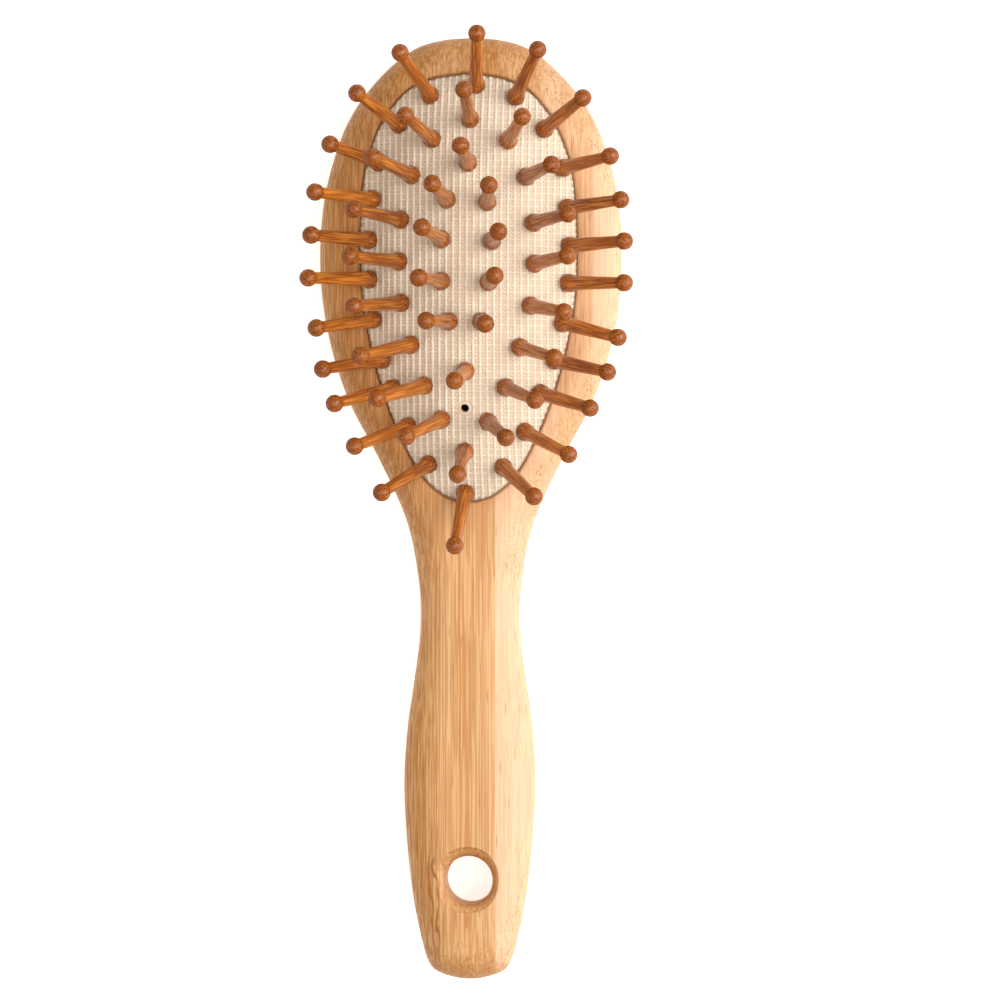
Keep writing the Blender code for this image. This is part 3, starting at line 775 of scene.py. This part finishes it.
    # the flame-like figure where the left strip's skin was sanded through
    bend = f.noise(f.scaled(place, (1.0, 0.38, 0.5)), 330.0, 1.5, 0.5).outputs["Fac"]
    waves = f.math("SINE", f.math("ADD", f.math("MULTIPLY", x, 6283.0 / 1.05), f.math("MULTIPLY", bend, 26.0)))
    flame = f.math("MULTIPLY", f.spread(waves, 0.25, 0.80), f.spread(f.noise(f.scaled(place, (1.0, 0.06, 1.0)), 800.0, 1.0).outputs["Fac"], 0.42, 0.56, 0.25, 1.0))
    near = f.add("ShaderNodeVectorMath", operation="DISTANCE")
    f.put(near.inputs[0], f.scaled(place, (1.0, 0.21, 0.4)))
    near.inputs[1].default_value = (-0.0069, -0.1245 * 0.21, 0.0050)
    flame = f.math("MULTIPLY", flame, f.spread(near.outputs["Value"], 0.0014, 0.0036, 1.0, 0.0))

    colour = f.ramp(tone, [(0.0, (0.860, 0.565, 0.395)), (0.15, (0.825, 0.525, 0.330)), (0.45, (0.722, 0.408, 0.192)), (1.0, (0.618, 0.256, 0.052))])
    colour = f.mix(f.math("MULTIPLY", f.spread(band, 0.38, 0.64, 0.0, 0.30), bold), colour, (0.580, 0.265, 0.080))
    calm = f.math("MULTIPLY_ADD", end_grain, -0.65, 1.0)
    bold_long = f.math("MULTIPLY", bold, calm)
    colour = f.mix(f.math("MULTIPLY", f.spread(vein, 0.51, 0.60, 0.0, 0.24), bold_long), colour, (0.480, 0.190, 0.050))
    colour = f.mix(f.math("MULTIPLY", f.spread(hair, 0.51, 0.58, 0.0, 0.58), bold_long), colour, (0.450, 0.180, 0.050))
    colour = f.mix(f.math("MULTIPLY", f.spread(hair, 0.48, 0.41, 0.0, 0.62), f.math("MULTIPLY_ADD", tone, -0.20, 0.70)), colour, (0.900, 0.630, 0.345))
    colour = f.mix(f.math("MULTIPLY", f.math("MULTIPLY", f.spread(dash, 0.54, 0.62, 0.0, 0.46), outer), bold), colour, (0.420, 0.165, 0.045))
    colour = f.mix(f.math("MULTIPLY", f.math("MULTIPLY", f.spread(dash, 0.44, 0.34, 0.0, 0.35), outer), bold), colour, (0.800, 0.480, 0.200))
    colour = f.mix(f.math("MULTIPLY", f.math("MULTIPLY", f.spread(blotch, 0.50, 0.66, 0.0, 0.18), outer), bold), colour, (0.540, 0.240, 0.080))
    colour = f.mix(f.math("MULTIPLY", f.spread(fleck, 0.53, 0.62, 0.0, 0.42), flecked), colour, (0.450, 0.185, 0.055))
    colour = f.mix(f.math("MULTIPLY", f.spread(fleck, 0.46, 0.37, 0.0, 0.36), flecked), colour, (0.900, 0.600, 0.310))
    colour = f.mix(seam, colour, (0.430, 0.170, 0.045))
    colour = f.mix(f.math("MULTIPLY", speck, 0.55), colour, (0.360, 0.135, 0.036))
    colour = f.mix(f.math("MULTIPLY", flame, 0.85), colour, (0.340, 0.120, 0.020))
    # cut fibre ends drink the lacquer and look darker
    colour = f.mix(stain, colour, (0.730, 0.600, 0.430), "MULTIPLY")
    colour = f.mix(f.math("MULTIPLY", f.math("MULTIPLY", dot, cluster), 0.92), colour, (0.340, 0.125, 0.028))
    # painted shade: the steep wall and flare of the bore, most where they face away from the key light on the right,
    # are multiplied to a darker, warmer orange
    bore = f.add("ShaderNodeVectorMath", operation="DISTANCE")
    f.put(bore.inputs[0], f.scaled(f.place, (1.0, 1.0, 0.0)))
    bore.inputs[1].default_value = (0.0, HANG_Y * MM, 0.0)
    turned = f.axes(f.add("ShaderNodeTexCoord").outputs["Normal"])
    slope = f.math("MULTIPLY", f.spread(f.math("ABSOLUTE", turned[2]), 0.72, 0.95, 1.0, 0.0), f.spread(turned[0], -0.60, 0.95, 1.0, 0.0))
    painted_bore_shade = f.math("MULTIPLY", slope, f.spread(bore.outputs["Value"], 0.0064, 0.0074, 1.0, 0.0))
    colour = f.mix(f.math("MULTIPLY", painted_bore_shade, 0.70), colour, (1.000, 0.830, 0.600), "MULTIPLY")
    shade = f.noise(f.scaled(f.place, (1.0, 0.5, 1.0)), 45.0, 2.0).outputs["Fac"]
    colour = f.mix(f.math("MULTIPLY", f.spread(shade, 0.35, 0.70, 0.0, 0.22), bold), colour, (0.480, 0.225, 0.070))

    height = f.math("ADD", f.math("MULTIPLY", hair, 0.5), f.math("MULTIPLY", dash, 0.5))
    height = f.math("SUBTRACT", height, f.math("MULTIPLY", dot, 0.6))
    height = f.math("SUBTRACT", height, f.math("MULTIPLY", seam, 0.4))
    f.set(Base_Color=colour, Roughness=f.spread(f.math("ADD", hair, f.math("MULTIPLY", shade, 0.5)), 0.55, 1.0, 0.44, 0.62),
          Normal=f.bump(height, 0.35, 0.00006))
    f.set(IOR=1.5, Specular_IOR_Level=0.25)
    return f.material


def dark_bamboo():
    """Turned pins of heat-darkened bamboo, fibres along the pin."""
    f = Finish("carbonised_bamboo_turned")
    seed = f.add("ShaderNodeAttribute", attribute_name="seed").outputs["Fac"]
    shift = f.add("ShaderNodeCombineXYZ")
    f.put(shift.inputs[0], f.math("MULTIPLY", seed, 0.91))
    f.put(shift.inputs[1], f.math("MULTIPLY", seed, 0.37))
    f.put(shift.inputs[2], f.math("MULTIPLY", seed, 0.53))
    own = f.add("ShaderNodeAttribute", attribute_name="fibre").outputs["Vector"]
    place = f.moved(own, shift.outputs[0])
    low = f.axes(own)[2]
    along = f.scaled(place, (1.0, 1.0, 0.045))
    fine = f.noise(along, 5000.0, 1.0, 0.5).outputs["Fac"]
    vein = f.noise(along, 3500.0, 0.5, 0.5).outputs["Fac"]
    band = f.noise(along, 800.0, 1.0).outputs["Fac"]
    dots = f.cells(f.scaled(place, (1.0, 1.0, 0.70)), 2700.0)
    spot = f.spread(dots.outputs["Distance"], 0.26, 0.48, 1.0, 0.0)
    spot = f.math("MULTIPLY", spot, f.spread(f.axes(dots.outputs["Color"])[0], 0.30, 0.42))

    # the flare and the ball cut across the fibres: redder, darker and dotted there
    foot = f.spread(low, 0.0024, 0.0040, 1.0, 0.0)
    heel = f.spread(low, 0.0012, 0.0024, 1.0, 0.0)
    knob = f.spread(low, 0.0171, 0.0180)
    tip = f.spread(low, 0.0188, 0.0203)
    cut = f.math("MAXIMUM", foot, knob)
    scallop = f.spread(f.noise(f.scaled(place, (1.0, 1.0, 0.25)), 1700.0, 1.0).outputs["Fac"], 0.42, 0.54)
    streaks = f.math("MULTIPLY_ADD", f.math("FRACT", f.math("MULTIPLY", seed, 13.7)), 0.60, 0.40)
    facing = f.add("ShaderNodeLayerWeight")
    facing.inputs["Blend"].default_value = 0.35
    edge = f.spread(facing.outputs["Facing"], 0.28, 0.95)

    colour = f.mix(f.spread(band, 0.30, 0.70), (0.665, 0.216, 0.018), (0.510, 0.140, 0.010))
    tint = f.spread(f.math("FRACT", f.math("MULTIPLY", seed, 7.31)), 0.0, 1.0, 0.0, 0.75)
    colour = f.mix(tint, colour, (0.340, 0.090, 0.010))
    colour = f.mix(f.math("MULTIPLY", cut, 0.70), colour, (0.340, 0.086, 0.009))
    colour = f.mix(f.math("MULTIPLY", f.spread(vein, 0.50, 0.62, 0.0, 0.62), streaks), colour, (0.150, 0.034, 0.005))
    colour = f.mix(f.math("MULTIPLY", f.spread(fine, 0.52, 0.62, 0.0, 0.50), streaks), colour, (0.150, 0.035, 0.006))
    colour = f.mix(f.math("MULTIPLY", f.spread(vein, 0.46, 0.38, 0.0, 0.42), f.math("SUBTRACT", 1.0, f.math("MULTIPLY", cut, 0.7))), colour, (0.820, 0.340, 0.065))
    colour = f.mix(f.math("MULTIPLY", tip, 0.30), colour, (0.200, 0.045, 0.006))
    colour = f.mix(f.math("MULTIPLY", f.math("MULTIPLY", heel, scallop), 0.75), colour, (0.105, 0.024, 0.004))
    colour = f.mix(f.math("MULTIPLY", spot, f.math("MULTIPLY_ADD", cut, 0.66, 0.02)), colour, (0.095, 0.021, 0.003))
    # painted shade: each ball darkens towards its silhouette
    colour = f.mix(f.math("MULTIPLY", f.math("MULTIPLY", edge, knob), 0.36), colour, (0.120, 0.027, 0.003))
    grit = f.noise(own, 3600.0, 1.0, 0.5).outputs["Fac"]
    height = f.math("SUBTRACT", f.math("MULTIPLY", vein, 0.5), f.math("MULTIPLY", spot, f.math("MULTIPLY_ADD", cut, 0.60, 0.05)))
    height = f.math("ADD", height, f.math("MULTIPLY", grit, f.math("MULTIPLY", cut, 0.6)))
    # wax shines on the proud fibres and less in the open ends; the shine is turned down towards the silhouette, most on
    # the balls, as painted shade that keeps their rims dark
    shine_cut_at_silhouette = f.spread(facing.outputs["Facing"], 0.12, 0.62)
    gloss = f.math("SUBTRACT", 1.0, f.math("MULTIPLY", shine_cut_at_silhouette, f.math("MULTIPLY_ADD", knob, 0.80, 0.12)))
    gloss = f.math("MULTIPLY", gloss, f.math("SUBTRACT", 1.0, f.math("MULTIPLY", spot, f.math("MULTIPLY", cut, 0.8))))
    f.set(Base_Color=colour, Roughness=f.spread(fine, 0.3, 0.7, 0.34, 0.48), Normal=f.bump(height, 0.55, 0.00006))
    f.set(IOR=1.5, Specular_IOR_Level=f.math("MULTIPLY", gloss, 0.26), Coat_Weight=f.math("MULTIPLY", gloss, 0.36), Coat_Roughness=0.17)
    return f.material


def cream_rubber():
    """Matt moulded rubber, with painted shade darkening the cells and painted light on the rib tops."""
    f = Finish("cream_rubber_moulded")
    depth = f.add("ShaderNodeAttribute", attribute_name="relief").outputs["Fac"]
    grain = f.noise(f.place, 3400.0, 2.0, 0.6).outputs["Fac"]
    cloud = f.noise(f.place, 260.0, 2.0).outputs["Fac"]
    # painted shade and light: darker cell floors and paler rib tops, by the relief height
    colour = f.mix(f.spread(depth, 0.0, 0.55), (0.680, 0.530, 0.375), (0.890, 0.765, 0.615))
    colour = f.mix(f.spread(depth, 0.50, 0.95), colour, (0.930, 0.840, 0.710))
    colour = f.mix(f.spread(grain, 0.45, 0.75, 0.0, 0.30), colour, (0.520, 0.395, 0.280))
    colour = f.mix(f.spread(cloud, 0.40, 0.75, 0.0, 0.16), colour, (0.600, 0.480, 0.330))
    f.set(Base_Color=colour, Roughness=f.spread(grain, 0.3, 0.7, 0.62, 0.80), Normal=f.bump(grain, 0.30, 0.00004))
    f.set(IOR=1.5, Specular_IOR_Level=0.35)
    return f.material


def pale_floor():
    f = Finish("pale_floor")
    grain = f.noise(f.place, 30.0, 3.0).outputs["Fac"]
    f.set(Base_Color=f.mix(f.spread(grain, 0.3, 0.7, 0.0, 0.03), (0.93, 0.93, 0.93), (0.90, 0.90, 0.90)), Roughness=0.7)
    f.set(Emission_Color=(1.0, 1.0, 1.0, 1.0), Emission_Strength=0.60)
    return f.material


body.data.materials.clear()
body.data.materials.append(pale_bamboo())
pad.data.materials.append(cream_rubber())
pin_finish = dark_bamboo()
for ob in pin_objects:
    ob.data.materials.append(pin_finish)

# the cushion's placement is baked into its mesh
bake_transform(pad)

# ---- floor and light ----------------------------------------------------------
bm = bmesh.new()
bmesh.ops.create_grid(bm, x_segments=8, y_segments=8, size=4.0)
floor = mesh_object("floor", bm)
floor.location = (0, 0, -0.0002)
floor.data.materials.append(pale_floor())

world = bpy.data.worlds.new("studio")
world.use_nodes = True
world.node_tree.nodes["Background"].inputs["Color"].default_value = (1.0, 1.0, 1.0, 1.0)
world.node_tree.nodes["Background"].inputs["Strength"].default_value = 0.22
scene.world = world
scene.view_settings.view_transform = "Standard"


def softbox(name, at, size, watts, colour=(1.0, 1.0, 1.0), aim=(0.0, -0.04, 0.01)):
    light = bpy.data.lights.new(name, "AREA")
    light.shape = "SQUARE"
    light.size = size
    light.energy = watts
    light.color = colour
    ob = bpy.data.objects.new(name, light)
    scene.collection.objects.link(ob)
    ob.location = at
    ob.rotation_mode = "QUATERNION"
    ob.rotation_quaternion = (Vector(aim) - Vector(at)).to_track_quat("-Z", "Y")


softbox("key", (0.66, 0.05, 0.62), 0.80, 9.6, (1.0, 0.99, 0.975))
softbox("overhead", (0.08, -0.26, 1.33), 0.9, 7.0, (1.0, 0.95, 0.88))
softbox("fill", (-0.75, -0.20, 0.60), 0.8, 1.2, (1.0, 0.82, 0.62))
